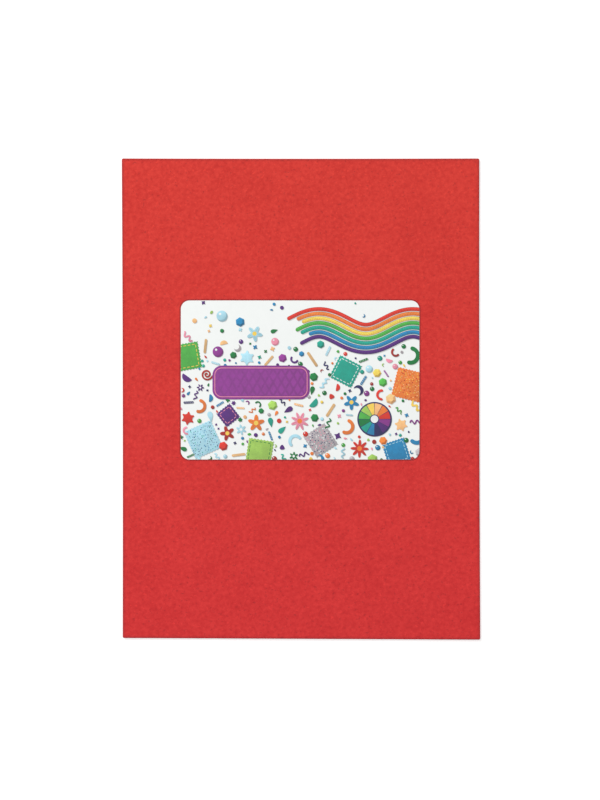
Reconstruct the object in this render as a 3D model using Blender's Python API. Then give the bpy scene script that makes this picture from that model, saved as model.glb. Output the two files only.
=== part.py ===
"""A sheet of craft foam lying flat, with a paper label stuck to its upper face.

Metres, +Z up. The origin is the middle of the sheet's outline, on its underside.
+X runs across the sheet and +Y along it, towards the label's upper edge.
"""

import math

import bpy
from mathutils import Vector

# Foam sheet, a nominal 9 x 12 inch blank
SHEET_WIDTH = 0.2285
SHEET_LENGTH = 0.3070
SHEET_THICKNESS = 0.0020
SHEET_CORNER_RADIUS = 0.0010
SHEET_EDGE_ROUND = 0.0004

# How far the cut outline is out of true
SIDE_LEAN = 0.0006  # the lower edge lies this much further towards +X than the upper one
LOWER_EDGE_DROP = 0.0011  # the lower edge ends this much lower at +X than at -X
SIDE_WAIST = 0.0003  # each long edge draws in by this much at its middle
UPPER_EDGE_SAG = 0.0002  # the upper edge draws in by this much at its middle

# Paper label, a 6 x 4 inch sticker
LABEL_WIDTH = 0.1524
LABEL_HEIGHT = 0.1016
LABEL_THICKNESS = 0.00015
LABEL_CORNER_RADIUS = 0.0055
LABEL_CENTRE = (-0.0006, 0.0122)  # from the middle of the sheet
SEAT_GAP = 0.0003  # between the foam and the label that lies on it

EDGE_STEPS = 12  # straight pieces that a bowed edge is made of
CORNER_STEPS = 6
EDGE_ROUND_STEPS = 2

FOAM_RED = (0.64, 0.045, 0.040, 1.0)
PAPER_WHITE = (0.88, 0.90, 0.90, 1.0)


def clear_scene():
    for obj in list(bpy.data.objects):
        bpy.data.objects.remove(obj, do_unlink=True)


def plain_material(name, colour, roughness):
    material = bpy.data.materials.new(name)
    material.use_nodes = True
    shader = material.node_tree.nodes["Principled BSDF"]
    shader.inputs["Base Color"].default_value = colour
    shader.inputs["Roughness"].default_value = roughness
    shader.inputs["Metallic"].default_value = 0.0
    material.diffuse_color = colour
    return material


def corner_arc(corner, before, after, radius):
    """Points that round a corner off, from the edge that comes in to the edge that leaves."""
    to_before = (before - corner).normalized()
    to_after = (after - corner).normalized()
    centre = corner + radius * (to_before + to_after)
    angles = [math.pi / 2 * step / CORNER_STEPS for step in range(CORNER_STEPS + 1)]
    return [centre - radius * (math.cos(a) * to_after + math.sin(a) * to_before) for a in angles]


def bowed_edge(start, end, draw_in):
    """Points between start and end, drawn in to the left of the way round by draw_in at the middle."""
    inward = Vector((start.y - end.y, end.x - start.x)).normalized()
    shares = [step / EDGE_STEPS for step in range(1, EDGE_STEPS)]
    return [start.lerp(end, t) + inward * draw_in * math.sin(math.pi * t) for t in shares]


def outline(corners, radius, draws_in):
    """A closed outline, anticlockwise, with round corners and an edge after each of them.

    draws_in holds how far each of those edges draws in at its middle, 0 for a straight one.
    """
    count = len(corners)
    arcs = [
        corner_arc(corners[i], corners[i - 1], corners[(i + 1) % count], radius)
        for i in range(count)
    ]
    points = []
    for i, draw_in in enumerate(draws_in):
        points += arcs[i]
        if draw_in:
            points += bowed_edge(arcs[i][-1], arcs[(i + 1) % count][0], draw_in)
    return points


def centred(points):
    """The same points, moved so that the middle of their box is at the origin."""
    low = Vector((min(p.x for p in points), min(p.y for p in points)))
    high = Vector((max(p.x for p in points), max(p.y for p in points)))
    return [p - (low + high) / 2 for p in points]


def flat_piece(name, points, thickness, edge_round, collection, material):
    """A flat outline given its thickness by a 2D curve, its rim rounded above and below."""
    curve = bpy.data.curves.new(name, "CURVE")
    curve.dimensions = "2D"
    curve.fill_mode = "BOTH"
    curve.extrude = thickness / 2 - edge_round
    curve.bevel_depth = edge_round
    curve.bevel_resolution = EDGE_ROUND_STEPS
    curve.offset = -edge_round
    spline = curve.splines.new("POLY")
    spline.points.add(len(points) - 1)
    for place, point in zip(spline.points, points):
        place.co = (point.x, point.y, 0.0, 1.0)
    spline.use_cyclic_u = True
    curve.materials.append(material)
    piece = bpy.data.objects.new(name, curve)
    collection.objects.link(piece)
    return piece


def foam_sheet(collection):
    half_width = SHEET_WIDTH / 2
    half_length = SHEET_LENGTH / 2
    half_lean = SIDE_LEAN / 2
    half_drop = LOWER_EDGE_DROP / 2
    corners = [
        Vector((-half_width + half_lean, -half_length + half_drop)),
        Vector((half_width + half_lean, -half_length - half_drop)),
        Vector((half_width - half_lean, half_length)),
        Vector((-half_width - half_lean, half_length)),
    ]
    draws_in = [0.0, SIDE_WAIST, UPPER_EDGE_SAG, SIDE_WAIST]
    points = centred(outline(corners, SHEET_CORNER_RADIUS, draws_in))
    edge_round = min(SHEET_EDGE_ROUND, 0.45 * SHEET_THICKNESS)
    material = plain_material("red_foam", FOAM_RED, 0.85)
    sheet = flat_piece("foam_sheet", points, SHEET_THICKNESS, edge_round, collection, material)
    sheet.location = (0.0, 0.0, SHEET_THICKNESS / 2)
    return sheet


def label(collection):
    half_width = LABEL_WIDTH / 2
    half_height = LABEL_HEIGHT / 2
    corners = [
        Vector((-half_width, -half_height)),
        Vector((half_width, -half_height)),
        Vector((half_width, half_height)),
        Vector((-half_width, half_height)),
    ]
    points = outline(corners, LABEL_CORNER_RADIUS, [0.0, 0.0, 0.0, 0.0])
    material = plain_material("label_paper", PAPER_WHITE, 0.4)
    sticker = flat_piece("label", points, LABEL_THICKNESS, 0.0, collection, material)
    sticker.location = (*LABEL_CENTRE, SHEET_THICKNESS + SEAT_GAP + LABEL_THICKNESS / 2)
    return sticker


def main():
    clear_scene()
    collection = bpy.data.collections.new("craft_foam_sheet")
    bpy.context.scene.collection.children.link(collection)
    foam_sheet(collection)
    label(collection)


main()
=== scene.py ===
"""The looks of a labelled sheet of craft foam, laid out as an add-on and run as a script.

Lengths are in metres, +Z up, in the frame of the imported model. The print on the label is drawn
in millimetres from the label's middle, with +X to its right and +Y to its upper edge.
"""

import math
import random
from collections import namedtuple

import bmesh
import bpy
import numpy as np
from bpy.props import FloatProperty, FloatVectorProperty, IntProperty, PointerProperty
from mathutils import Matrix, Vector, noise
from mathutils.geometry import delaunay_2d_cdt


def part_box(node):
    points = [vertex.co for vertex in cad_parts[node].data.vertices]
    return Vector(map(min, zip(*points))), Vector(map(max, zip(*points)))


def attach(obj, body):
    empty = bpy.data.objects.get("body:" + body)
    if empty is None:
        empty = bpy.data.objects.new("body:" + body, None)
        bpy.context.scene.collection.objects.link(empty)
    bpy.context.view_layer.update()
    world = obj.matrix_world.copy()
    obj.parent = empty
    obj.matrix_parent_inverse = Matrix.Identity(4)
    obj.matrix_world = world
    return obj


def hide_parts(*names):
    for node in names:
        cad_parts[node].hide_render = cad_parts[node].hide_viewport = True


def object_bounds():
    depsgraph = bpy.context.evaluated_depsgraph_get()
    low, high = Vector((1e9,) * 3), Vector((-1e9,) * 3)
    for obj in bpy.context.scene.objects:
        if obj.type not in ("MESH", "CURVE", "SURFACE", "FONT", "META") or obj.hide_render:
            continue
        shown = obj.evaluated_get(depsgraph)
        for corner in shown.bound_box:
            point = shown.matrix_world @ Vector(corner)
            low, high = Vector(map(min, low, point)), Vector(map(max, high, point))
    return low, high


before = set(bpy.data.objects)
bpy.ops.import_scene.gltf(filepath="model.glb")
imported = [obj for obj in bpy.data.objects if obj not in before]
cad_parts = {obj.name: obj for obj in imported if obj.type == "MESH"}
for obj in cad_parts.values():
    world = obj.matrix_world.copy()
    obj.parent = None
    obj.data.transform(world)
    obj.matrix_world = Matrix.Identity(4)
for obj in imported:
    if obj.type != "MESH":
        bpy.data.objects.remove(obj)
CAD_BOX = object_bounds()

bl_info = {
    "name": "Craft Foam Sheet",
    "version": (1, 0, 0),
    "blender": (4, 5, 0),
    "location": "3D View > Sidebar > Craft Foam",
    "description": "Makes a labelled sheet of craft foam and the plain stage it lies on",
    "category": "Mesh",
}

SHEET_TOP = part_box("foam_sheet")[1].z
MM = 0.001

# Where the sheet lies in the picture
PICTURE_PIXELS = (600, 800)
SHEET_MIDDLE_PIXEL = (301.05, 399.1)
METRES_PER_PIXEL = 0.0006388

# Building the sheet
SAME_LEVEL = 1e-5  # points no further apart in height than this are level
SPACING_SAMPLES = 20001  # along a side, to reckon how its points are spaced
CORNER_CLEAR = 0.003  # the outline's edges are read this far from its corners
CORNER_STEPS = 5
LIP_STEPS = 4
WALL_STEPS = 6
LOWER_LIP_STEPS = 2
BACK_MARGIN = 0.0008
RAG_SIZE = 0.0026  # length of one bump of the cut edge
FINE_BAND = 0.0017  # points lie closer together within this of the label's edges
FINE_EASE = 0.35  # how fast their spacing grows beyond it
HELD_SHARE = 0.12  # how much of its dimples the foam keeps under the label
PAPER_CLEAR = 0.00002  # between the pressed foam and the paper

# How dark the painted shade on the foam is: at the rim, further out on the lip, on the cut, round
# the label
RIM_DARK, LIP_DARK, CUT_DARK, GROOVE_DARK = 0.6, 0.3, 0.3, 1.6

# The foam's two looks: sizes of the grain, its scale in height, share of the colour, relief
FACE_GRAIN = {"Mottle Size": 0.03, "Dent Size": 0.0025, "Grain Size": 0.0009, "Pit Spacing": 0.012}
CUT_GRAIN = {"Mottle Size": 0.006, "Dent Size": 0.0009, "Grain Size": 0.0003, "Pit Spacing": 0.0016}
FOAM_LOOKS = {
    "red_foam_face": (FACE_GRAIN, 1.0, 1.0, 0.00026),
    "red_foam_cut": (CUT_GRAIN, 0.6, 0.9, 0.00020),
}
MOTTLE_SHARE, DENT_SHARE, GRAIN_SHARE = 0.28, 0.52, 0.12  # of the foam's light and dark

# The paper's and the ink's grain
PAPER_STRENGTH, INK_STRENGTH = 0.12, 1.0
PRINT_GLOSS = 0.42
PRINT_RELIEF = 0.00002
BLOTCHES, TEETH = 260.0, 2600.0  # in a metre

# Levels of one layer of the print, from the paper up
CAST, SIDE, FACE, DETAIL, TOP_DETAIL = range(5)
LEVELS = 5
LEVEL_GAP, FILM_SHARE = 0.3, 0.6  # of a level's height, below each film and in it
CUT_TOLERANCE = 1e-5
FLAT_MAP = "OFBake"  # the name of the print's flat map from above

INK_CODES = {
    "red": "DC3628", "brick": "A82A22", "orange": "EE7F36", "apricot": "F8BC80",
    "wood": "DDB27C", "yellow": "F4CE58", "lime": "9DC65A", "green": "4FAE48",
    "forest": "12783C", "teal": "1CA48E", "blue": "2384B6", "sky": "AEDDEC",
    "navy": "2C2A62", "purple": "8A358C", "violet": "57277A", "pink": "F093AA",
    "silver": "B1AAAE", "white": "F6F8F7",
}


def linear(code):
    """A hex colour as linear red, green and blue."""
    shares = [int(code[i : i + 2], 16) / 255 for i in (0, 2, 4)]
    return tuple(s / 12.92 if s <= 0.04045 else ((s + 0.055) / 1.055) ** 2.4 for s in shares)


INKS = {name: linear(code) for name, code in INK_CODES.items()}


def length(name, description, default):
    """A length that a user would change."""
    return FloatProperty(name=name, description=description, default=default, unit="LENGTH")


def tint(name, description, default):
    """A colour that a user would change."""
    return FloatVectorProperty(name=name, description=description, default=default, subtype="COLOR")


class FoamSettings(bpy.types.PropertyGroup):
    """Sizes and colours of the foam."""

    lip: length("Upper lip", "Radius of the cut edge above", 0.0005)
    lower_lip: length("Lower lip", "Radius of the cut edge below", 0.0002)
    corner: length("Corner", "Radius of the corners in plan", 0.0010)
    waist: length("Waist", "How far the cut edge draws in", 0.00006)
    step: length("Step", "Spacing of the points of the face", 0.00112)
    fine_step: length("Fine step", "Their spacing beside the label", 0.0003)
    peel_size: length("Peel size", "Width of a dimple of the face", 0.0040)
    peel_height: length("Peel height", "Height of the dimples", 0.00007)
    swell_size: length("Swell size", "Width of the slow swells", 0.055)
    swell_height: length("Swell height", "Height of the slow swells", 0.00006)
    rag: length("Rag", "How rough the cut edge is", 0.00007)
    press: length("Press", "How far the label sinks in", 0.00010)
    press_width: length("Press width", "Slope round the label", 0.0009)
    # The darker rim is painted shade along the sheet's edges
    painted_edge_shade: length("Painted Edge Shade", "Width of the darker rim that the die leaves", 0.0011)
    # The dark line round the label is painted shade
    groove: length("Groove", "Width of the dark line round the label", 0.0013)
    light: tint("Light red", "The foam's lighter cells", (0.745, 0.0397, 0.0311))
    dark: tint("Dark red", "The foam's darker cells", (0.525, 0.0198, 0.0194))
    # Pit red is the tone of painted shade: in nicks and pits, along the rim and round the label
    pit: tint("Pit red", "The bottoms of pits", (0.30, 0.016, 0.018))


class LabelSettings(bpy.types.PropertyGroup):
    """Sizes and colours of the paper label and of its print."""

    thickness: length("Thickness", "Paper and adhesive", 0.00020)
    edge: length("Edge", "Radius of the paper's cut edge", 0.00004)
    corner: length("Corner", "Radius of the label's corners", 0.0055)
    film: length("Film", "Height of one level of the print", 0.000010)
    paper: tint("Paper", "The paper's white", (0.880, 0.905, 0.888))
    figures: IntProperty(name="Figures", description="How many loose cut-outs", default=240)
    seed: IntProperty(name="Seed", description="Which scatter of cut-outs", default=11)


class StageSettings(bpy.types.PropertyGroup):
    """The floor, the lights and the camera."""

    lens: FloatProperty(name="Lens", description="Focal length", default=85.0, unit="CAMERA")
    floor_size: length("Floor", "Side of the floor", 8.0)
    floor: tint("Floor white", "The floor's colour", (0.60, 0.60, 0.60))
    floor_glow: FloatProperty(
        name="Floor glow", description="Light that the floor gives by itself", default=0.52
    )
    key: FloatProperty(
        name="Key", description="Light beyond the upper left corner", default=26.0, unit="POWER"
    )
    top: FloatProperty(name="Top", description="Light overhead", default=8.8, unit="POWER")
    sky: FloatProperty(name="Sky", description="Strength of the light all round", default=0.42)
    backdrop: FloatProperty(
        name="Backdrop", description="Tone of the sky as the camera sees it", default=0.80
    )


class CraftFoamSettings(bpy.types.PropertyGroup):
    """Everything that a user would change."""

    foam: PointerProperty(type=FoamSettings)
    label: PointerProperty(type=LabelSettings)
    stage: PointerProperty(type=StageSettings)


# Reading the frame


def outline_of(node):
    """The widest outline of a flat piece of the frame, as points in order round its middle."""
    points = np.array([v.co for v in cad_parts[node].data.vertices])
    middle = (points.min(axis=0) + points.max(axis=0)) / 2
    off = np.abs(points[:, 2] - middle[2])
    widest = np.unique(points[off < off.min() + SAME_LEVEL][:, :2].round(7), axis=0)
    turn = np.arctan2(widest[:, 1] - middle[1], widest[:, 0] - middle[0])
    return widest[np.argsort(turn)]


def edge_of(outline, axis, side, places):
    """How far out on an axis one side's edge lies, at places along the other axis."""
    across = 1 - axis
    half = outline[side * outline[:, axis] > 0]
    half = half[np.argsort(half[:, across])]
    low, high = outline[:, across].min(), outline[:, across].max()
    places = np.clip(places, low + CORNER_CLEAR, high - CORNER_CLEAR)
    return np.interp(places, half[:, across], half[:, axis])


Place = namedtuple("Place", "middle along width height")


def label_place():
    """Where the label lies: its middle, the way its long edge runs, and its size."""
    outline = outline_of("label")
    sides = np.roll(outline, -1, axis=0) - outline
    along = sides[np.argmax(np.hypot(sides[:, 0], sides[:, 1]))]
    along = along * math.copysign(1, along[0]) / np.hypot(*along)
    upward = np.array([-along[1], along[0]])
    low = [(outline @ way).min() for way in (along, upward)]
    high = [(outline @ way).max() for way in (along, upward)]
    middle = (low[0] + high[0]) / 2 * along + (low[1] + high[1]) / 2 * upward
    return Place(middle, along, high[0] - low[0], high[1] - low[1])


def to_label(place, x, y):
    """Places on the sheet as distances from the label's middle, along it and up it."""
    dx, dy = x - place.middle[0], y - place.middle[1]
    return dx * place.along[0] + dy * place.along[1], dy * place.along[0] - dx * place.along[1]


def to_sheet(place, point):
    """A point of the print, in millimetres, as a place on the sheet."""
    x, y = point[0] * MM, point[1] * MM
    ax, ay = place.along
    return place.middle[0] + x * ax - y * ay, place.middle[1] + x * ay + y * ax


# Outlines in plan, most of them about the origin with a radius of 1, and anticlockwise


def polar(reach, angle):
    return reach * math.cos(angle), reach * math.sin(angle)


def turn_angles(count):
    """Angles that share a full turn equally."""
    return [2 * math.pi * i / count for i in range(count)]


def placed(outline, middle, size=1.0, turn=0.0):
    c, s = polar(size, turn)
    return [(middle[0] + x * c - y * s, middle[1] + x * s + y * c) for x, y in outline]


def moved(outline, dx, dy):
    return [(x + dx, y + dy) for x, y in outline]


def rounded_rectangle(width, height, radius, steps=10):
    points = []
    for turn, (x, y) in enumerate(((1, 1), (-1, 1), (-1, -1), (1, -1))):
        for step in range(steps + 1):
            dx, dy = polar(radius, math.pi / 2 * (turn + step / steps))
            points.append((x * (width / 2 - radius) + dx, y * (height / 2 - radius) + dy))
    return points


def circle(radius=1.0, count=30):
    return [polar(radius, a) for a in turn_angles(count)]


def soften(points, rounds=1):
    """Cuts the corners of a closed outline, a quarter of each side at a time."""
    for _ in range(rounds):
        cut_points = []
        for a, b in zip(points, points[1:] + points[:1]):
            cut_points.append((0.75 * a[0] + 0.25 * b[0], 0.75 * a[1] + 0.25 * b[1]))
            cut_points.append((0.25 * a[0] + 0.75 * b[0], 0.25 * a[1] + 0.75 * b[1]))
        points = cut_points
    return points


def polygon(sides):
    return soften(circle(1.0, sides), 2)


def star(tips, waist):
    """A star with rounded tips, whose inner corners lie at a share of its radius."""
    return soften([polar(waist if i % 2 else 1.0, a) for i, a in enumerate(turn_angles(2 * tips))])


def flower(petals):
    return [polar(0.72 + 0.28 * math.cos(petals * a), a) for a in turn_angles(10 * petals)]


def drop():
    return [
        (-math.sin(a) * abs(math.sin(a / 2)) ** 1.4 * 0.72, math.cos(a)) for a in turn_angles(30)
    ]


def crescent():
    """The part of a disc that a second disc, moved to the right, doesn't cover."""
    tip, shift, steps = math.radians(55), 0.5, 18
    outer = [tip + (2 * math.pi - 2 * tip) * i / steps for i in range(steps + 1)]
    reach = math.hypot(math.cos(tip) - shift, math.sin(tip))
    start = math.atan2(math.sin(tip), math.cos(tip) - shift)
    inner = [start + (2 * math.pi - 2 * start) * i / steps for i in range(1, steps)]
    hollow = moved([polar(reach, a) for a in reversed(inner)], shift, 0.0)
    return [polar(1.0, a) for a in outer] + hollow


def cross(arm=0.3):
    corners = [(arm, arm), (arm, 1.0), (-arm, 1.0), (-arm, arm), (-1.0, arm), (-1.0, -arm)]
    return soften(corners + [(-x, -y) for x, y in corners])


def half_disc():
    return soften(moved([polar(1.0, math.pi * i / 16) for i in range(17)], 0.0, -0.4))


def lozenge(width=0.62, height=1.0):
    return [(width, 0.0), (0.0, height), (-width, 0.0), (0.0, -height)]


def stroke(line, width, caps=6):
    """The outline of a line drawn with a round pen."""
    line = np.array(line, float)
    way = np.gradient(line, axis=0)
    way /= np.hypot(way[:, 0], way[:, 1])[:, None]
    left = np.stack([-way[:, 1], way[:, 0]], axis=1) * width / 2
    points = []
    for middle, side in ((line, -left), (line[::-1], left[::-1])):
        points += list(middle + side)
        x, y = side[-1]
        for i in range(1, caps):
            c, s = polar(1.0, math.pi * i / caps)
            points.append(middle[-1] + (x * c - y * s, x * s + y * c))
    return [tuple(p) for p in points]


def arch():
    return stroke(moved([polar(0.78, math.pi * i / 20) for i in range(21)], 0.0, -0.35), 0.42)


def spiral():
    turns = [i / 44 for i in range(45)]
    return stroke([polar(0.10 + 0.76 * t, 11 * t) for t in turns], 0.24)


def squiggle():
    places = [i / 30 for i in range(31)]
    return stroke([(2 * t - 1, 0.34 * math.sin(3.5 * math.pi * t)) for t in places], 0.26)


def zigzag():
    """A bent ribbon with soft corners."""
    upper = [(-1.0 + 0.4 * i, 0.28 * (-1) ** i + 0.16) for i in range(6)]
    lower = [(x, y - 0.32) for x, y in upper]
    return soften(lower + upper[::-1])


def pinked(half, teeth, depth):
    """A square cut with pinking shears: its edges are rows of small teeth."""
    side = [(-half + half * i / teeth, (depth if i % 2 else 0) - half) for i in range(2 * teeth)]
    return [p for turn in range(4) for p in placed(side, (0, 0), 1.0, math.pi / 2 * turn)]


def wedge(inner, outer, start, end, steps=8):
    angles = [start + (end - start) * i / steps for i in range(steps + 1)]
    return [polar(outer, a) for a in angles] + [polar(inner, a) for a in reversed(angles)]


def bar(long, wide):
    x, y = long / 2, wide / 2
    return [(-x, -y), (x, -y), (x, y), (-x, y)]


Spot = namedtuple("Spot", "middle size turn")


def cut(outline, inside=(), outside=()):
    """Corners and triangles of the part of an outline inside some others and outside some more."""
    loops = [outline, *inside, *outside]
    points, faces = [], []
    for loop in loops:
        faces.append(list(range(len(points), len(points) + len(loop))))
        points += [Vector(p) for p in loop]
    corners, _, triangles, _, _, sources = delaunay_2d_cdt(
        points, [], faces, 1, CUT_TOLERANCE, True
    )
    wanted = set(range(1 + len(inside)))
    barred = set(range(1 + len(inside), len(loops)))
    kept = [t for t, s in zip(triangles, sources) if wanted <= set(s) and not barred & set(s)]
    return corners, kept


# Materials


def feed(tree, node, inputs):
    """Sets each input of a node to a value, or links it to a socket."""
    for name, value in inputs.items():
        if isinstance(value, bpy.types.NodeSocket):
            tree.links.new(value, node.inputs[name])
        else:
            node.inputs[name].default_value = value


def add(tree, kind, inputs=None, **settings):
    """A new node with its settings and inputs."""
    node = tree.nodes.new(kind)
    for name, value in settings.items():
        setattr(node, name, value)
    feed(tree, node, inputs or {})
    return node


def reckon(tree, operation, *values, clamp=False):
    """The result of one step of arithmetic."""
    inputs = dict(enumerate(values))
    return add(tree, "ShaderNodeMath", inputs, operation=operation, use_clamp=clamp).outputs[0]


def blend(tree, share, first, second, way="MIX"):
    """Two colours mixed by a share of the second."""
    inputs = {0: share, 6: first, 7: second}
    return add(tree, "ShaderNodeMix", inputs, data_type="RGBA", blend_type=way).outputs[2]


def clouds(tree, vector, scale, detail, roughness, distortion=0.0):
    inputs = {
        "Vector": vector,
        "Scale": scale,
        "Detail": detail,
        "Roughness": roughness,
        "Distortion": distortion,
    }
    return add(tree, "ShaderNodeTexNoise", inputs, noise_dimensions="3D").outputs["Fac"]


def spread(tree, value, low, high, to_low=0.0, to_high=1.0):
    """A value moved from one range to another, with soft ends."""
    inputs = {
        "Value": value,
        "From Min": low,
        "From Max": high,
        "To Min": to_low,
        "To Max": to_high,
    }
    return add(tree, "ShaderNodeMapRange", inputs, interpolation_type="SMOOTHSTEP").outputs[0]


def new_group(name, inputs, outputs):
    """An empty shader group with its sockets, and the sockets that start and end it."""
    group = bpy.data.node_groups.new(name, "ShaderNodeTree")
    for label, kind, value in inputs:
        socket = group.interface.new_socket(label, in_out="INPUT", socket_type="NodeSocket" + kind)
        if value is not None:
            socket.default_value = value
    for label, kind in outputs:
        group.interface.new_socket(label, in_out="OUTPUT", socket_type="NodeSocket" + kind)
    return group, group.nodes.new("NodeGroupInput").outputs, group.nodes.new("NodeGroupOutput")


def foam_grain_group():
    """Closed-cell foam: soft mottling, dents, grain, small nicks and beads and a few open pits,
    with painted shade in nicks, pits and along the edges.
    """
    group, given, made = new_group(
        "Foam Grain",
        [
            ("Vector", "Vector", None),
            *((name, "Float", size) for name, size in FACE_GRAIN.items()),
            ("Light", "Color", (0.6, 0.03, 0.02, 1.0)),
            ("Dark", "Color", (0.5, 0.02, 0.02, 1.0)),
            ("Pit", "Color", (0.2, 0.01, 0.01, 1.0)),
            ("Painted Edge Shade", "Float", 0.0),
        ],
        [("Colour", "Color"), ("Height", "Float"), ("Roughness", "Float")],
    )
    vector = given["Vector"]
    per_mottle, per_dent, per_grain, per_pit = (
        reckon(group, "DIVIDE", 1.0, given[size]) for size in FACE_GRAIN
    )
    mottle = clouds(group, vector, per_mottle, 4.0, 0.72)
    dents = clouds(group, vector, per_dent, 2.0, 0.55, 0.2)
    grain = clouds(group, vector, per_grain, 2.0, 0.6)
    skin = clouds(group, vector, reckon(group, "MULTIPLY", per_grain, 2.6), 2.0, 0.6)
    cells = reckon(group, "MULTIPLY", dents, DENT_SHARE)
    cells = reckon(group, "MULTIPLY_ADD", mottle, MOTTLE_SHARE, cells)
    cells = reckon(group, "MULTIPLY_ADD", grain, GRAIN_SHARE, cells)

    # Nicks are the deepest specks and beads the highest; nicks and open pits get painted shade
    specks = clouds(group, vector, reckon(group, "MULTIPLY", per_dent, 1.7), 1.0, 0.4, 0.2)
    nick = spread(group, specks, 0.63, 0.79)
    bead = spread(group, specks, 0.36, 0.24)

    # Only some of the pits open, each to a reach of its own
    pits = add(group, "ShaderNodeTexVoronoi", {"Vector": vector, "Scale": per_pit})
    chance = add(group, "ShaderNodeSeparateColor", {"Color": pits.outputs["Color"]}).outputs[0]
    reach = spread(group, chance, 0.55, 1.0, 0.02, 0.055)
    fall = reckon(group, "DIVIDE", pits.outputs["Distance"], reach)
    pit = reckon(group, "SUBTRACT", 1.0, fall, clamp=True)
    pit = reckon(group, "MULTIPLY", pit, reckon(group, "GREATER_THAN", chance, 0.6))

    lightness = spread(group, cells, 0.14, 0.78)
    lightness = reckon(group, "MULTIPLY_ADD", bead, 0.55, lightness, clamp=True)
    colour = blend(group, lightness, given["Dark"], given["Light"])
    # Painted shade: darker in nicks and pits, and along the edges where the attribute says
    hollow = reckon(group, "MULTIPLY_ADD", nick, 0.42, reckon(group, "MULTIPLY", pit, 0.80))
    painted_shade = reckon(group, "MULTIPLY_ADD", given["Painted Edge Shade"], 0.85, hollow, clamp=True)
    height = cells
    for pattern, rise in ((pit, -1.0), (nick, -0.35), (bead, 0.20), (skin, 0.14)):
        height = reckon(group, "MULTIPLY_ADD", pattern, rise, height)
    results = {
        "Colour": blend(group, painted_shade, colour, given["Pit"]),
        "Height": height,
        "Roughness": spread(group, cells, 0.31, 0.61, 0.92, 0.80),
    }
    feed(group, made, results)


def print_grain_group():
    """Coated paper and the print on it: faint blotches, a fine tooth and an uneven sheen."""
    group, given, made = new_group(
        "Print Grain",
        [("Vector", "Vector", None), ("Strength", "Float", 1.0), ("Gloss", "Float", PRINT_GLOSS)],
        [("Tone", "Color"), ("Height", "Float"), ("Roughness", "Float")],
    )
    blotch = clouds(group, given["Vector"], BLOTCHES, 3.0, 0.6)
    tooth = clouds(group, given["Vector"], TEETH, 2.0, 0.6)
    mixed = reckon(group, "MULTIPLY_ADD", tooth, 0.3, reckon(group, "MULTIPLY", blotch, 0.7))
    low = reckon(group, "MULTIPLY_ADD", given["Strength"], -0.16, 1.0)
    rise = reckon(group, "MULTIPLY", given["Strength"], 0.16)
    grey = reckon(group, "MULTIPLY_ADD", spread(group, mixed, 0.35, 0.65), rise, low)
    tone = add(group, "ShaderNodeCombineColor", {"Red": grey, "Green": grey, "Blue": grey})
    gloss = reckon(group, "MULTIPLY_ADD", blotch, 0.16, given["Gloss"])
    feed(group, made, {"Tone": tone.outputs[0], "Height": mixed, "Roughness": gloss})


def new_material(name, values):
    """A material with its shader's plain values set, its node tree and its shader."""
    material = bpy.data.materials.new(name)
    material.use_nodes = True
    shader = material.node_tree.nodes["Principled BSDF"]
    feed(material.node_tree, shader, values)
    return material, material.node_tree, shader


def use_group(tree, group, inputs):
    return add(tree, "ShaderNodeGroup", inputs, node_tree=bpy.data.node_groups[group]).outputs


def own_place(tree, scale=(1.0, 1.0, 1.0)):
    """The object's own coordinates, scaled on each axis."""
    place = add(tree, "ShaderNodeTexCoord").outputs["Object"]
    return add(tree, "ShaderNodeMapping", {"Vector": place, "Scale": scale}).outputs["Vector"]


def dress(tree, shader, colour, tone, grain, relief):
    """Gives a shader a colour shaded by a tone, and the roughness and the bumps of a grain."""
    bumps = add(tree, "ShaderNodeBump", {"Height": grain["Height"], "Distance": relief})
    inputs = {
        "Base Color": blend(tree, 1.0, colour, tone, "MULTIPLY"),
        "Roughness": grain["Roughness"],
        "Normal": bumps.outputs["Normal"],
    }
    feed(tree, shader, inputs)


def foam_material(name, foam):
    """Foam whose colour has a little more green and less blue towards the sheet's upper end."""
    sizes, flatten, darken, relief = FOAM_LOOKS[name]
    material, tree, shader = new_material(
        name, {"Specular IOR Level": 0.35, "Sheen Weight": 0.06, "Sheen Roughness": 0.6}
    )
    inputs = {
        **sizes,
        "Vector": own_place(tree, (1.0, 1.0, flatten)),
        "Light": (*[c * darken for c in foam.light], 1.0),
        "Dark": (*[c * darken for c in foam.dark], 1.0),
        "Pit": (*foam.pit, 1.0),
        "Painted Edge Shade": add(tree, "ShaderNodeAttribute", attribute_name="painted_edge_shade").outputs["Fac"],
    }
    grain = use_group(tree, "Foam Grain", inputs)
    height = add(tree, "ShaderNodeSeparateXYZ", {0: own_place(tree)}).outputs["Y"]
    half = CAD_BOX[1][1]
    fade = spread(tree, height, -half, half)
    fade = blend(tree, fade, (1.0, 0.86, 1.04, 1.0), (1.0, 1.14, 0.96, 1.0))
    dress(tree, shader, grain["Colour"], fade, grain, relief)
    return material


def paper_material(name, strength, colour=None):
    """Coated paper of one colour, or the ink on it, whose colour each point of a film carries."""
    material, tree, shader = new_material(name, {"Specular IOR Level": 0.4})
    grain = use_group(tree, "Print Grain", {"Vector": own_place(tree), "Strength": strength})
    if colour is None:
        colour = add(tree, "ShaderNodeAttribute", attribute_name="ink").outputs["Color"]
    dress(tree, shader, colour, grain["Tone"], grain, PRINT_RELIEF)
    return material


def put_in_scene(name, data):
    piece = bpy.data.objects.new(name, data)
    bpy.context.scene.collection.objects.link(piece)
    return piece


def thicken(piece, name, thickness):
    """Gives a flat piece its thickness, upwards."""
    solid = piece.modifiers.new(name, "SOLIDIFY")
    solid.thickness = thickness
    solid.offset = 1.0


# The foam


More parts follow.
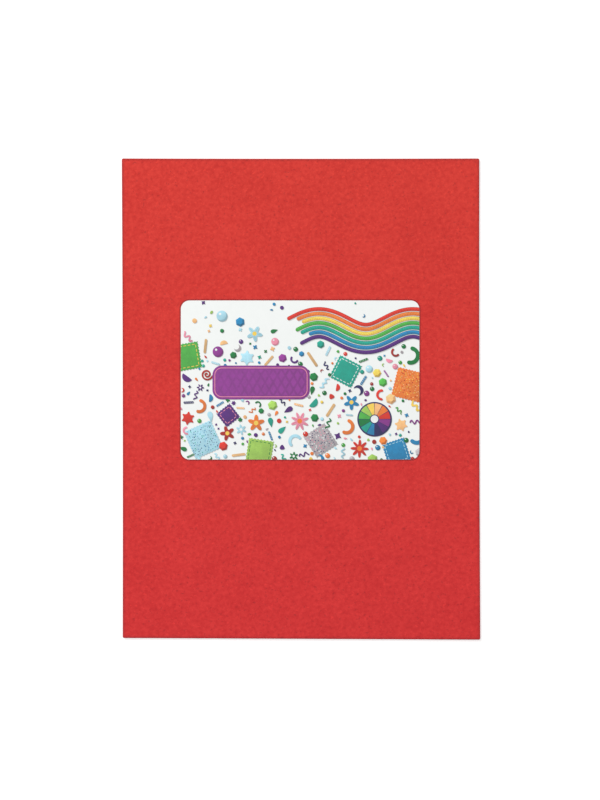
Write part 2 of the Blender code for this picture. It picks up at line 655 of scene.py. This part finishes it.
def spaced(half, corner, foam, fine_spots):
    """Places from -half to half, closer together at the ends and near the fine spots."""
    straight = half - corner
    fine = np.linspace(-straight, straight, SPACING_SAMPLES)
    away = np.min([np.abs(fine - spot) for spot in fine_spots], axis=0)
    pitch = np.clip(foam.fine_step + FINE_EASE * (away - FINE_BAND), foam.fine_step, foam.step)
    steps = np.concatenate([[0], np.cumsum((fine[1] - fine[0]) / pitch[1:])])
    middle = np.interp(np.linspace(0, steps[-1], round(steps[-1]) + 1), steps, fine)
    end = np.linspace(straight, half, CORNER_STEPS + 1)[1:]
    return np.concatenate([-end[::-1], middle, end])


def plan_grid(foam, inset):
    """Rows of points that fill the sheet's outline, drawn in by inset, with round corners.

    The third array is how far each point lies from the rim.
    """
    outline = outline_of("foam_sheet")
    low, high = outline.min(axis=0), outline.max(axis=0)
    half_x, half_y = (high - low) / 2 - inset
    corner = foam.corner - inset
    place = label_place()
    spots_x = [place.middle[0] + side * place.width / 2 for side in (-1, 1)]
    spots_y = [place.middle[1] + side * place.height / 2 for side in (-1, 1)]
    x, y = np.meshgrid(
        spaced(half_x, corner, foam, spots_x), spaced(half_y, corner, foam, spots_y)
    )
    rim = np.minimum(half_x - np.abs(x), half_y - np.abs(y))
    a = np.clip((np.abs(x) - half_x + corner) / corner, 0, 1)
    b = np.clip((np.abs(y) - half_y + corner) / corner, 0, 1)
    x += np.sign(x) * corner * a * (np.sqrt(1 - b * b / 2) - 1)
    y += np.sign(y) * corner * b * (np.sqrt(1 - a * a / 2) - 1)
    left, right = (edge_of(outline, 0, side, y) - side * inset for side in (-1, 1))
    lower, upper = (edge_of(outline, 1, side, x) - side * inset for side in (-1, 1))
    real_x = (left + right) / 2 + x / half_x * (right - left) / 2
    real_y = (lower + upper) / 2 + y / half_y * (upper - lower) / 2
    return real_x, real_y, rim


def rolling(x, y, size, octaves):
    """Smooth noise at each place, about -1 to 1."""
    values = [
        noise.fractal(Vector((a / size, b / size, 0.0)), 1.0, 2.0, octaves)
        for a, b in zip(x.ravel(), y.ravel())
    ]
    return np.array(values).reshape(x.shape)


def beside_label(place, corner, x, y):
    """How far each place lies outside the label's outline, negative under the label."""
    along, up = to_label(place, x, y)
    a = np.abs(along) - place.width / 2 + corner
    b = np.abs(up) - place.height / 2 + corner
    return np.hypot(np.maximum(a, 0), np.maximum(b, 0)) + np.minimum(np.maximum(a, b), 0) - corner


def eased(share):
    """A share from 0 to 1, with soft ends."""
    share = np.clip(share, 0, 1)
    return share * share * (3 - 2 * share)


def face_heights(foam, x, y, away):
    """The height of the upper face: fine dimples on slow swells, pressed in by the label."""
    free = eased(away / foam.press_width)
    peel = foam.peel_height * rolling(x, y, foam.peel_size, 3)
    swell = foam.swell_height * rolling(x, y, foam.swell_size, 1)
    kept = HELD_SHARE + (1 - HELD_SHARE) * free
    return SHEET_TOP + (peel + swell) * kept - foam.press * (1 - free)


def edge_profile(foam):
    """Steps out and down from the inset upper face: upper lip, drawn-in wall, lower lip, back."""
    steps = []
    for i in range(1, LIP_STEPS + 1):
        a = math.pi / 2 * i / LIP_STEPS
        steps.append((foam.lip * math.sin(a), SHEET_TOP - foam.lip * (1 - math.cos(a)), "face"))
    wall = SHEET_TOP - foam.lip - foam.lower_lip
    for i in range(1, WALL_STEPS + 1):
        share = i / WALL_STEPS
        draw_in = foam.waist * math.sin(math.pi * share)
        steps.append((foam.lip - draw_in, SHEET_TOP - foam.lip - wall * share, "wall"))
    for i in range(1, LOWER_LIP_STEPS + 1):
        a = math.pi / 2 * i / LOWER_LIP_STEPS
        out = foam.lip - foam.lower_lip * (1 - math.cos(a))
        steps.append((out, foam.lower_lip * (1 - math.sin(a)), "wall"))
    steps.append((foam.lip - foam.lower_lip - BACK_MARGIN, 0.0, "face"))
    return steps


def edge_points(foam, edge, outward, out, height, part):
    """One step of the edge, further out and down than the rim of the face."""
    place = edge[:, :2] + outward * out
    if part == "wall":
        rag = rolling(place[:, 0], place[:, 1] + height, RAG_SIZE, 2)
        place = place + outward * (foam.rag * rag)[:, None]
    level = height + (edge[:, 2] - SHEET_TOP) * (height / SHEET_TOP) ** 2
    return np.column_stack([place, level])


def foam_mesh(foam, points, faces, slots, painted_edge_shade):
    """A mesh with the foam's two looks, whose points carry how much painted shade they get."""
    mesh = bpy.data.meshes.new("foam")
    mesh.from_pydata(points.tolist(), [], faces)
    mesh.attributes.new("painted_edge_shade", "FLOAT", "POINT").data.foreach_set("value", np.clip(painted_edge_shade, 0, 1))
    for name in FOAM_LOOKS:
        mesh.materials.append(foam_material(name, foam))
    mesh.polygons.foreach_set("material_index", slots)
    mesh.shade_smooth()
    return mesh


def build_foam(foam, label):
    x, y, rim = plan_grid(foam, foam.lip)
    away = beside_label(label_place(), label.corner, x, y)
    z = face_heights(foam, x, y, away)
    points = [np.stack([x.ravel(), y.ravel(), z.ravel()], axis=1)]
    # Painted shade along the rim and round the label
    by_rim, by_label = 1 - eased(rim / foam.painted_edge_shade), 1 - eased(away / foam.groove)
    painted_edge_shade = [np.maximum(RIM_DARK * by_rim, GROOVE_DARK * by_label).ravel()]
    index = np.arange(x.size).reshape(x.shape)
    quads = np.stack([index[:-1, :-1], index[:-1, 1:], index[1:, 1:], index[1:, :-1]], axis=-1)
    faces = quads.reshape(-1, 4).tolist()
    slots = [0] * len(faces)

    ring = np.concatenate([index[0, :-1], index[:-1, -1], index[-1, :0:-1], index[:0:-1, 0]])
    edge = points[0][ring]
    way = np.roll(edge, -1, axis=0) - np.roll(edge, 1, axis=0)
    outward = np.stack([way[:, 1], -way[:, 0]], axis=1) / np.hypot(way[:, 0], way[:, 1])[:, None]
    count = x.size
    for out, height, part in edge_profile(foam):
        points.append(edge_points(foam, edge, outward, out, height, part))
        # Painted shade on the lip and on the cut edge
        dark = RIM_DARK + LIP_DARK * out / foam.lip if part == "face" else CUT_DARK
        painted_edge_shade.append(np.full(len(ring), dark))
        following = np.arange(count, count + len(ring))
        count += len(ring)
        strip = np.stack([ring, following, np.roll(following, -1), np.roll(ring, -1)], axis=-1)
        faces += strip.tolist()
        slots += [1 if part == "wall" else 0] * len(ring)
        ring = following
    faces.append(ring[::-1].tolist())
    slots.append(0)

    mesh = foam_mesh(foam, np.concatenate(points), faces, slots, np.concatenate(painted_edge_shade))
    piece = put_in_scene("foam", mesh)
    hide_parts("foam_sheet")
    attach(piece, "root")


# The label


def paper_levels(foam, label):
    """The heights of the paper's underside, just clear of the pressed foam, and of its face."""
    underside = SHEET_TOP - foam.press + PAPER_CLEAR
    return underside, underside + label.thickness


def build_paper(foam, label):
    place = label_place()
    underside, _ = paper_levels(foam, label)
    outline = rounded_rectangle(place.width / MM, place.height / MM, label.corner / MM)
    bm = bmesh.new()
    bm.faces.new([bm.verts.new((*to_sheet(place, p), underside)) for p in outline])
    mesh = bpy.data.meshes.new("label_paper")
    bm.to_mesh(mesh)
    bm.free()
    mesh.materials.append(paper_material("label_paper", PAPER_STRENGTH, (*label.paper, 1.0)))
    piece = put_in_scene("label_paper", mesh)
    thicken(piece, "paper", label.thickness)
    edge = piece.modifiers.new("cut_edge", "BEVEL")
    edge.width = label.edge
    edge.segments = 2
    edge.limit_method = "ANGLE"
    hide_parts("label")
    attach(piece, "root")


def lay_flat(mesh):
    """A map of the print from above. Where films overlap, the last and topmost one holds."""
    places = np.array([mesh.vertices[loop.vertex_index].co[:2] for loop in mesh.loops])
    low, high = places.min(axis=0), places.max(axis=0)
    flat = mesh.uv_layers.new(name=FLAT_MAP)
    flat.uv.foreach_set("vector", ((places - low) / (high - low)).ravel())


class Films:
    """Films of ink on the label, gathered in one mesh, on a lower or an upper layer."""

    def __init__(self, settings, layer=0):
        label = settings.label
        self.place = label_place()
        self.step = label.film
        self.base = paper_levels(settings.foam, label)[1] + layer * LEVELS * label.film
        margin = 2 * label.edge
        self.sheet = rounded_rectangle(
            (self.place.width - margin) / MM, (self.place.height - margin) / MM, label.corner / MM
        )
        self.clear_of = ()  # outlines that no film covers
        self.bm = bmesh.new()
        self.ink = self.bm.verts.layers.float_color.new("ink")

    def lay(self, outline, level, tone, inside=(), outside=()):
        """One film: the part of an outline that is on the label, inside and outside others.

        tone is a colour, or a function that gives one for each point.
        """
        corners, triangles = cut(outline, (self.sheet, *inside), (*self.clear_of, *outside))
        height = self.base + (level + LEVEL_GAP) * self.step
        verts = {}
        for triangle in triangles:
            for i in triangle:
                if i not in verts:
                    verts[i] = self.bm.verts.new((*to_sheet(self.place, corners[i]), height))
                    colour = tone(corners[i]) if callable(tone) else tone
                    verts[i][self.ink] = (*colour, 1.0)
            self.bm.faces.new([verts[i] for i in triangle])

    def finish(self, name):
        self.bm.faces.sort(key=lambda film: film.verts[0].co.z)
        mesh = bpy.data.meshes.new(name)
        self.bm.to_mesh(mesh)
        self.bm.free()
        lay_flat(mesh)
        ink = bpy.data.materials.get("printed_ink") or paper_material("printed_ink", INK_STRENGTH)
        mesh.materials.append(ink)
        piece = put_in_scene(name, mesh)
        thicken(piece, "film", FILM_SHARE * self.step)
        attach(piece, "root")


# Figures of the print


def shade(colour, factor):
    return tuple(min(1.0, c * factor) for c in colour)


def lit(colour, spot, strength=0.16):
    """A tone that is lighter at the upper left of a figure and darker at the lower right."""

    def tone(point):
        x, y = point[0] - spot.middle[0], point[1] - spot.middle[1]
        lean = max(-1.0, min(1.0, (0.8 * y - 0.6 * x) / spot.size))
        return shade(colour, 1 + strength * lean)

    return tone


WHITE = INKS["white"]
CAST_TONE = shade(WHITE, 0.68)
SIDE_SHADE = 0.55
SIDE_SHIFT = (0.16, -0.20)
CAST_SHIFT = (0.45, -0.55)
STRIPE_PALENESS = 0.34  # how far a straw's stripes are from its own colour to white


def figure(films, outline, spot, colour):
    """A cut-out as printed: its faint shadow on the paper, its own thickness and its face."""
    films.lay(moved(outline, *CAST_SHIFT), CAST, CAST_TONE)
    films.lay(moved(outline, *SIDE_SHIFT), SIDE, shade(colour, SIDE_SHADE))
    films.lay(outline, FACE, lit(colour, spot))


def plain(outline):
    """A drawer of cut-outs with this outline, in one colour."""

    def draw(films, spot, colour):
        figure(films, placed(outline, *spot), spot, colour)

    return draw


def bead(films, spot, colour):
    """A glossy ball: its shaded side and a glint."""
    (x, y), size, _ = spot
    ball = placed(circle(), *spot)
    figure(films, ball, spot, colour)
    lit_side = placed(circle(), (x - 0.20 * size, y + 0.25 * size), size)
    films.lay(ball, DETAIL, shade(colour, 0.66), outside=(lit_side,))
    glint = placed(circle(1.0, 12), (x - 0.34 * size, y + 0.38 * size), 0.22 * size)
    films.lay(glint, TOP_DETAIL, WHITE)


def gem(films, spot, colour):
    """A faceted stone seen from above, brighter on its upper left facets."""
    outer, inner = placed(circle(1.0, 6), *spot), placed(circle(0.55, 6), *spot)
    figure(films, outer, spot, colour)
    for k in range(6):
        facing = spot.turn + (k + 0.5) * math.pi / 3
        facet = [outer[k], outer[(k + 1) % 6], inner[(k + 1) % 6], inner[k]]
        bright = 1 + 0.45 * math.cos(facing - math.radians(127))
        films.lay(facet, DETAIL, shade(colour, bright))
    films.lay(inner, DETAIL, shade(colour, 1.2))


def blossom(petals, heart):
    """A drawer of flowers with round petals, a crease down each and a heart of another colour."""

    def draw(films, spot, colour):
        figure(films, placed(flower(petals), *spot), spot, colour)
        for k in range(petals):
            vein = placed(bar(0.5, 0.05), (0.55, 0.0))
            vein = placed(placed(vein, (0, 0), 1.0, 2 * math.pi * k / petals), *spot)
            films.lay(vein, DETAIL, shade(colour, 0.72))
        films.lay(placed(circle(0.27, 16), *spot), TOP_DETAIL, INKS[heart])

    return draw


def straw(films, spot, colour):
    """A straw with paler stripes."""
    tube = placed(rounded_rectangle(2.0, 0.42, 0.14, 3), *spot)
    figure(films, tube, spot, colour)
    pale = tuple(c + STRIPE_PALENESS * (w - c) for c, w in zip(colour, WHITE))
    slant = ((0.0, -0.3), (0.15, -0.3), (0.33, 0.3), (0.18, 0.3))
    for k in range(5):
        stripe = placed([(x + 0.39 * k - 0.86, y) for x, y in slant], *spot)
        films.lay(stripe, DETAIL, pale, inside=(tube,))


def stick(films, spot, colour):
    """A craft stick with round ends and its grain."""
    strip = placed(rounded_rectangle(2.0, 0.34, 0.168, 6), *spot)
    figure(films, strip, spot, colour)
    for k, (along, up) in enumerate(((-0.3, 0.09), (0.25, 0.04), (-0.15, -0.03), (0.3, -0.09))):
        grain = placed(placed(bar(0.9 - 0.15 * k, 0.016), (along, up)), *spot)
        films.lay(grain, DETAIL, shade(colour, 0.78), inside=(strip,))


# The print

PANEL_MIDDLE = (-25.0, -1.5)
PANEL_SIZE = (62.0, 21.5)
PANEL_ROUND = 6.0
PANEL_LINE = 0.45
PANEL_LINE_INSET, PANEL_FIELD_INSET = 1.3, 2.6
PANEL_LOZENGE = (2.6, 4.4)  # half the spacing of the lozenges, across and up
LOZENGE_SHARE = 0.72  # of that spacing that a lozenge fills

STRAND_INKS = "red orange yellow green teal blue violet".split()
MIDDLE_STRAND = len(STRAND_INKS) // 2
STRAND_WIDTH = 2.5
STRAND_PITCH = 2.95
STRAND_SPAN = (-3.0, 84.0)
STRAND_LEVEL = 31.5
STRAND_SWING = 5.0
STRAND_WAVE = 60.0
TWIST_PITCH = 1.3
TWIST_LEAN = math.radians(62)
TWIST_LINE = 0.26

WHEEL = Spot((47.5, -25.0), 11.0, 0.0)
WHEEL_RIM = 0.9
WHEEL_HUB = 3.0
WHEEL_GAP = 0.02  # on each side of a sector, in radians
WHEEL_INKS = "red orange apricot yellow lime green forest teal blue navy violet purple".split()

# Pinked swatches: middle, half side, turn in degrees, ink, inks of its glitter or of its stitches
TOOTH_DEPTH = 0.55
GLITTER_SWATCHES = (
    ((-62.0, -38.0), 9.6, 24, "sky", ("blue", "navy", "teal")),
    ((69.5, -3.0), 9.6, -14, "orange", ("apricot", "yellow", "brick")),
    ((13.0, -38.5), 8.2, 33, "silver", ("white", "navy", "pink")),
)
FELT_SWATCHES = (
    ((-72.5, 15.0), 8.6, 10, "green", "yellow"),
    ((29.0, 5.5), 8.0, -27, "teal", "white"),
    ((-26.0, -46.0), 8.2, -9, "lime", "forest"),
    ((61.5, -46.0), 7.6, 18, "blue", "sky"),
    ((-46.0, -22.5), 5.6, 38, "violet", "pink"),
)
SEAM_INSET = 1.7
STITCH_PITCH = 1.3
STITCH_SHARE, STITCH_WIDTH = 0.62, 0.42  # of that pitch that a stitch fills, and its width


def panel_outline(grow=0.0):
    width, height = PANEL_SIZE[0] + 2 * grow, PANEL_SIZE[1] + 2 * grow
    return placed(rounded_rectangle(width, height, PANEL_ROUND + grow), PANEL_MIDDLE)


def print_panel(films):
    """A purple panel with a pink line round it and lozenges of its own colour."""
    purple = INKS["purple"]
    figure(films, panel_outline(), Spot(PANEL_MIDDLE, 40.0, 0.0), purple)
    inner = panel_outline(-PANEL_LINE_INSET - PANEL_LINE)
    films.lay(panel_outline(-PANEL_LINE_INSET), DETAIL, INKS["pink"], outside=(inner,))
    field = panel_outline(-PANEL_FIELD_INSET)
    across, up = PANEL_LOZENGE
    shape = lozenge(LOZENGE_SHARE * across, LOZENGE_SHARE * up)
    for row in range(-3, 4):
        for column in range(-12, 13):
            if (row + column) % 2 == 0:
                middle = (PANEL_MIDDLE[0] + column * across, PANEL_MIDDLE[1] + row * up)
                films.lay(placed(shape, middle), DETAIL, shade(purple, 1.16), inside=(field,))


def strand_line(k, pitch=TWIST_PITCH):
    """One strand of yarn: the strands run side by side and start one after another."""
    offset = (MIDDLE_STRAND - k) * STRAND_PITCH
    start = STRAND_SPAN[0] + 3.2 * (k % 3) + 1.3 * (k % 2)
    count = round((STRAND_SPAN[1] - start) / pitch)
    line = []
    for i in range(count + 1):
        x = start + (STRAND_SPAN[1] - start) * i / count
        a = 2 * math.pi * (x - STRAND_SPAN[0]) / STRAND_WAVE
        steep = math.atan(STRAND_SWING * 2 * math.pi / STRAND_WAVE * math.cos(a))
        height = STRAND_LEVEL + STRAND_SWING * math.sin(a)
        line.append((x - offset * math.sin(steep), height + offset * math.cos(steep)))
    return line


def print_strands(films):
    """Strands of yarn, each with its twist and a lighter line along its upper side."""
    for k, ink in enumerate(STRAND_INKS):
        line, colour = strand_line(k), INKS[ink]
        face = stroke(moved(line, -0.1, 0.14), STRAND_WIDTH - 0.5)
        films.lay(stroke(moved(line, *CAST_SHIFT), STRAND_WIDTH), CAST, CAST_TONE)
        films.lay(stroke(line, STRAND_WIDTH), SIDE, shade(colour, 0.6))
        films.lay(face, FACE, colour)
        for a, b in zip(line, line[1:]):
            lean = math.atan2(b[1] - a[1], b[0] - a[0]) + TWIST_LEAN
            twist = placed(bar(STRAND_WIDTH * 1.3, TWIST_LINE), a, 1.0, lean)
            films.lay(twist, DETAIL, shade(colour, 0.74), inside=(face,))
        films.lay(stroke(moved(line, -0.3, 0.45), 0.4), TOP_DETAIL, shade(colour, 1.45))


def print_wheel(films):
    """A colour wheel with a dark rim and a white hub."""
    figure(films, placed(circle(1.0, 72), *WHEEL), WHEEL, INKS["navy"])
    step = 2 * math.pi / len(WHEEL_INKS)
    for k, ink in enumerate(WHEEL_INKS):
        start, end = k * step + WHEEL_GAP, (k + 1) * step - WHEEL_GAP
        sector = wedge(WHEEL_HUB, WHEEL.size - WHEEL_RIM, start, end)
        films.lay(placed(sector, WHEEL.middle), DETAIL, lit(INKS[ink], WHEEL))
    films.lay(placed(circle(WHEEL_HUB - 0.6), WHEEL.middle), DETAIL, WHITE)


def strewn(chance, half, tries, gap):
    """Random places in a square, each at least gap from the others."""
    places = []
    for _ in range(tries):
        x, y = chance.uniform(-half, half), chance.uniform(-half, half)
        if all(math.hypot(x - px, y - py) > gap for px, py in places):
            places.append((x, y))
    return places


def print_swatch(films, middle, half, degrees, ink):
    """A pinked square, and the spot where its details are drawn."""
    spot = Spot(middle, 1.0, math.radians(degrees))
    outline = placed(pinked(half, round(half), TOOTH_DEPTH), *spot)
    figure(films, outline, Spot(middle, 1.4 * half, 0.0), INKS[ink])
    return spot


def print_glitter(films, chance):
    """Patches strewn with flakes of three inks."""
    for middle, half, degrees, ink, bits in GLITTER_SWATCHES:
        spot = print_swatch(films, middle, half, degrees, ink)
        for place in strewn(chance, half - 1.0, tries=260, gap=0.9):
            flake = placed(circle(1.0, 5), place, chance.uniform(0.26, 0.44), chance.uniform(0, 6))
            colour = shade(INKS[chance.choice(bits)], chance.uniform(0.8, 1.15))
            films.lay(placed(flake, *spot), DETAIL, colour)


def print_felt(films, chance):
    """Felt patches: short fibres in the cloth and a row of stitches along each side."""
    for middle, half, degrees, ink, thread in FELT_SWATCHES:
        spot = print_swatch(films, middle, half, degrees, ink)
        for place in strewn(chance, half - 0.9, tries=150, gap=1.2):
            fibre = placed(bar(chance.uniform(0.7, 1.1), 0.13), place, 1.0, chance.uniform(0, 3))
            tone = shade(INKS[ink], chance.choice((0.78, 0.86, 1.16, 1.3)))
            films.lay(placed(fibre, *spot), DETAIL, tone)
        seam = half - SEAM_INSET
        count = round(seam / STITCH_PITCH)
        pitch = 2 * seam / count
        for side in range(4):
            for i in range(count):
                place = ((i + 0.5) * pitch - seam, -seam)
                stitch = placed(bar(STITCH_SHARE * pitch, STITCH_WIDTH), place)
                stitch = placed(stitch, (0, 0), 1.0, math.pi / 2 * side)
                films.lay(placed(stitch, *spot), TOP_DETAIL, INKS[thread])


# Loose cut-outs: how they are drawn and how common they are, for each size from large to small
SIZES = (
    (
        (4.0, 6.0),
        ((blossom(5, "yellow"), 3), (blossom(8, "orange"), 2), (plain(spiral()), 2), (stick, 3),
         (plain(zigzag()), 2), (plain(arch()), 2), (plain(star(6, 0.5)), 2)),
    ),
    (
        (2.2, 3.6),
        ((gem, 4), (bead, 3), (blossom(6, "white"), 3), (plain(arch()), 2), (plain(squiggle()), 3),
         (straw, 4), (plain(drop()), 3), (plain(half_disc()), 2), (plain(crescent()), 2),
         (plain(star(4, 0.42)), 2), (plain(polygon(3)), 2)),
    ),
    (
        (0.9, 1.8),
        ((bead, 6), (gem, 3), (plain(polygon(3)), 3), (plain(polygon(4)), 2),
         (plain(soften(lozenge())), 2), (plain(star(4, 0.42)), 3), (plain(star(6, 0.5)), 2),
         (plain(cross()), 2), (plain(drop()), 3), (plain(crescent()), 2), (plain(polygon(6)), 2)),
    ),
)
SIZE_SHARES = (0.09, 0.38, 1.0)  # the loose cut-outs laid once each size is done
TRIES = 40  # for each loose cut-out
LOOSE_INKS = (
    "red red brick orange apricot yellow lime green forest forest teal teal blue blue sky sky "
    "navy purple violet violet pink silver".split()
)
LOOSE_GAP = 0.55


def large_zones():
    """Middles and radii of round zones that the larger figures take up."""
    zones = [(*WHEEL.middle, WHEEL.size)]
    zones += [(*middle, 0.98 * half) for middle, half, *_ in GLITTER_SWATCHES + FELT_SWATCHES]
    reach, radius = (PANEL_SIZE[0] - PANEL_SIZE[1]) / 2, PANEL_SIZE[1] / 2 - 1.5
    across, up = PANEL_MIDDLE
    zones += [(across + reach * i / 4, up, radius) for i in range(-4, 5)]
    radius = len(STRAND_INKS) / 2 * STRAND_PITCH
    return zones + [(x, y, radius) for x, y in strand_line(MIDDLE_STRAND, 3.0)]


def crowding(height):
    """The chance that a loose cut-out stays at a height, as a share of half the label's height."""
    return max(0.012, min(1.0, 1.25 * (0.55 - height) + 0.12))


def print_loose(films, count, chance):
    """Loose cut-outs, thick below and thin above, that keep clear of the panel and each other."""
    films.clear_of = (panel_outline(),)
    half_width, half_height = films.place.width / 2 / MM, films.place.height / 2 / MM
    taken = large_zones()
    laid = 0
    for ((least, most), kinds), share in zip(SIZES, SIZE_SHARES):
        drawers, weights = zip(*kinds)
        for _ in range(TRIES * count):
            if laid >= share * count:
                break
            size = chance.uniform(least, most)
            x = chance.uniform(-half_width, half_width)
            y = chance.uniform(-half_height, half_height)
            if chance.random() > crowding(y / half_height):
                continue
            if any(math.hypot(x - tx, y - ty) < size + tr + LOOSE_GAP for tx, ty, tr in taken):
                continue
            draw = chance.choices(drawers, weights)[0]
            ink = "wood" if draw is stick else chance.choice(LOOSE_INKS)
            colour = shade(INKS[ink], chance.uniform(0.88, 1.12))
            turn = chance.uniform(0, 2 * math.pi)
            draw(films, Spot((x, y), size, turn), colour)
            taken.append((x, y, size))
            laid += 1


# The stage

# Where each light stands, and how wide it is
KEY_LIGHT = ((-0.95, 1.15, 1.6), 0.8)
TOP_LIGHT = ((-0.10, -0.20, 2.0), 1.4)


def area_light(name, place, size, power):
    """A round soft light that faces the middle of the sheet."""
    lamp = bpy.data.lights.new(name, "AREA")
    lamp.shape = "DISK"
    lamp.size = size
    lamp.energy = power
    light = put_in_scene(name, lamp)
    light.location = place
    light.rotation_euler = Vector(place).to_track_quat("Z", "Y").to_euler()


def build_floor(stage):
    bpy.ops.mesh.primitive_plane_add(size=stage.floor_size)
    floor = bpy.context.object
    floor.name = "floor"
    values = {
        "Base Color": (*stage.floor, 1.0),
        "Roughness": 0.9,
        "Emission Color": (1.0, 1.0, 1.0, 1.0),
        "Emission Strength": stage.floor_glow,
    }
    floor.data.materials.append(new_material("pale_floor", values)[0])


def build_camera(stage):
    """Straight above the sheet, as far off as puts the photograph's scale on its upper face."""
    camera = bpy.data.cameras.new("camera")
    camera.lens = stage.lens
    camera.clip_start = 0.05
    across, down = PICTURE_PIXELS
    distance = down * METRES_PER_PIXEL / 2 / (camera.sensor_width / 2 / camera.lens)
    seat = put_in_scene("camera", camera)
    seat.location = (
        (across / 2 - SHEET_MIDDLE_PIXEL[0]) * METRES_PER_PIXEL,
        (SHEET_MIDDLE_PIXEL[1] - down / 2) * METRES_PER_PIXEL,
        SHEET_TOP + distance,
    )
    bpy.context.scene.camera = seat


def build_sky(stage):
    """An even pale sky, which the camera sees in the floor's own tone."""
    world = bpy.data.worlds.new("sky")
    world.use_nodes = True
    tree = world.node_tree
    seen = add(tree, "ShaderNodeLightPath").outputs["Is Camera Ray"]
    strength = reckon(tree, "MULTIPLY_ADD", seen, stage.backdrop - stage.sky, stage.sky)
    background = tree.nodes["Background"]
    feed(tree, background, {"Color": (1.0, 1.0, 1.0, 1.0), "Strength": strength})
    bpy.context.scene.world = world


# Operators


class CraftFoamOperator(bpy.types.Operator):
    """Shared by the operators that make the sheet and its stage."""

    bl_options = {"REGISTER", "UNDO"}

    @property
    def settings(self):
        return bpy.context.scene.craft_foam

    def print_piece(self, name, draw, *values, layer=0):
        """Prints a drawing as a piece of its own."""
        films = Films(self.settings, layer)
        draw(films, *values)
        films.finish(name)


class CRAFT_FOAM_OT_foam(CraftFoamOperator):
    """Make the sheet of foam"""

    bl_idname = "craft_foam.foam"
    bl_label = "Foam Sheet"

    def execute(self, context):
        foam_grain_group()
        build_foam(self.settings.foam, self.settings.label)
        return {"FINISHED"}


class CRAFT_FOAM_OT_paper(CraftFoamOperator):
    """Make the label's paper"""

    bl_idname = "craft_foam.paper"
    bl_label = "Label Paper"

    def execute(self, context):
        print_grain_group()
        build_paper(self.settings.foam, self.settings.label)
        return {"FINISHED"}


class CRAFT_FOAM_OT_large_print(CraftFoamOperator):
    """Print the panel, the strands of yarn and the colour wheel on the label"""

    bl_idname = "craft_foam.large_print"
    bl_label = "Large Print"

    def execute(self, context):
        self.print_piece("print_panel", print_panel)
        self.print_piece("print_strands", print_strands)
        self.print_piece("print_wheel", print_wheel)
        return {"FINISHED"}


class CRAFT_FOAM_OT_swatches(CraftFoamOperator):
    """Print the glitter and felt swatches on the label"""

    bl_idname = "craft_foam.swatches"
    bl_label = "Swatches"

    def execute(self, context):
        chance = random.Random(self.settings.label.seed)
        self.print_piece("print_glitter", print_glitter, chance)
        self.print_piece("print_felt", print_felt, chance)
        return {"FINISHED"}


class CRAFT_FOAM_OT_loose(CraftFoamOperator):
    """Print the loose cut-outs on the label, over the swatches"""

    bl_idname = "craft_foam.loose"
    bl_label = "Loose Cut-outs"

    def execute(self, context):
        label = self.settings.label
        chance = random.Random(label.seed)
        self.print_piece("print_loose", print_loose, label.figures, chance, layer=1)
        return {"FINISHED"}


class CRAFT_FOAM_OT_stage(CraftFoamOperator):
    """Make the floor, the lights and the camera"""

    bl_idname = "craft_foam.stage"
    bl_label = "Stage"

    def execute(self, context):
        stage = self.settings.stage
        context.scene.view_settings.view_transform = "Standard"
        build_floor(stage)
        build_sky(stage)
        build_camera(stage)
        area_light("key", *KEY_LIGHT, stage.key)
        area_light("top", *TOP_LIGHT, stage.top)
        return {"FINISHED"}


class CRAFT_FOAM_PT_build(bpy.types.Panel):
    """Lists the operators"""

    bl_idname = "CRAFT_FOAM_PT_build"
    bl_label = "Craft Foam Sheet"
    bl_space_type = "VIEW_3D"
    bl_region_type = "UI"
    bl_category = "Craft Foam"

    def draw(self, context):
        for operator in OPERATORS:
            self.layout.operator(operator.bl_idname)


OPERATORS = (
    CRAFT_FOAM_OT_foam,
    CRAFT_FOAM_OT_paper,
    CRAFT_FOAM_OT_large_print,
    CRAFT_FOAM_OT_swatches,
    CRAFT_FOAM_OT_loose,
    CRAFT_FOAM_OT_stage,
)
CLASSES = (
    FoamSettings,
    LabelSettings,
    StageSettings,
    CraftFoamSettings,
    *OPERATORS,
    CRAFT_FOAM_PT_build,
)


def register():
    for cls in CLASSES:
        bpy.utils.register_class(cls)
    bpy.types.Scene.craft_foam = PointerProperty(type=CraftFoamSettings)


def unregister():
    del bpy.types.Scene.craft_foam
    for cls in reversed(CLASSES):
        bpy.utils.unregister_class(cls)


def main():
    register()
    bpy.ops.craft_foam.foam()
    bpy.ops.craft_foam.paper()
    bpy.ops.craft_foam.large_print()
    bpy.ops.craft_foam.swatches()
    bpy.ops.craft_foam.loose()
    bpy.ops.craft_foam.stage()


if __name__ == "__main__":
    main()
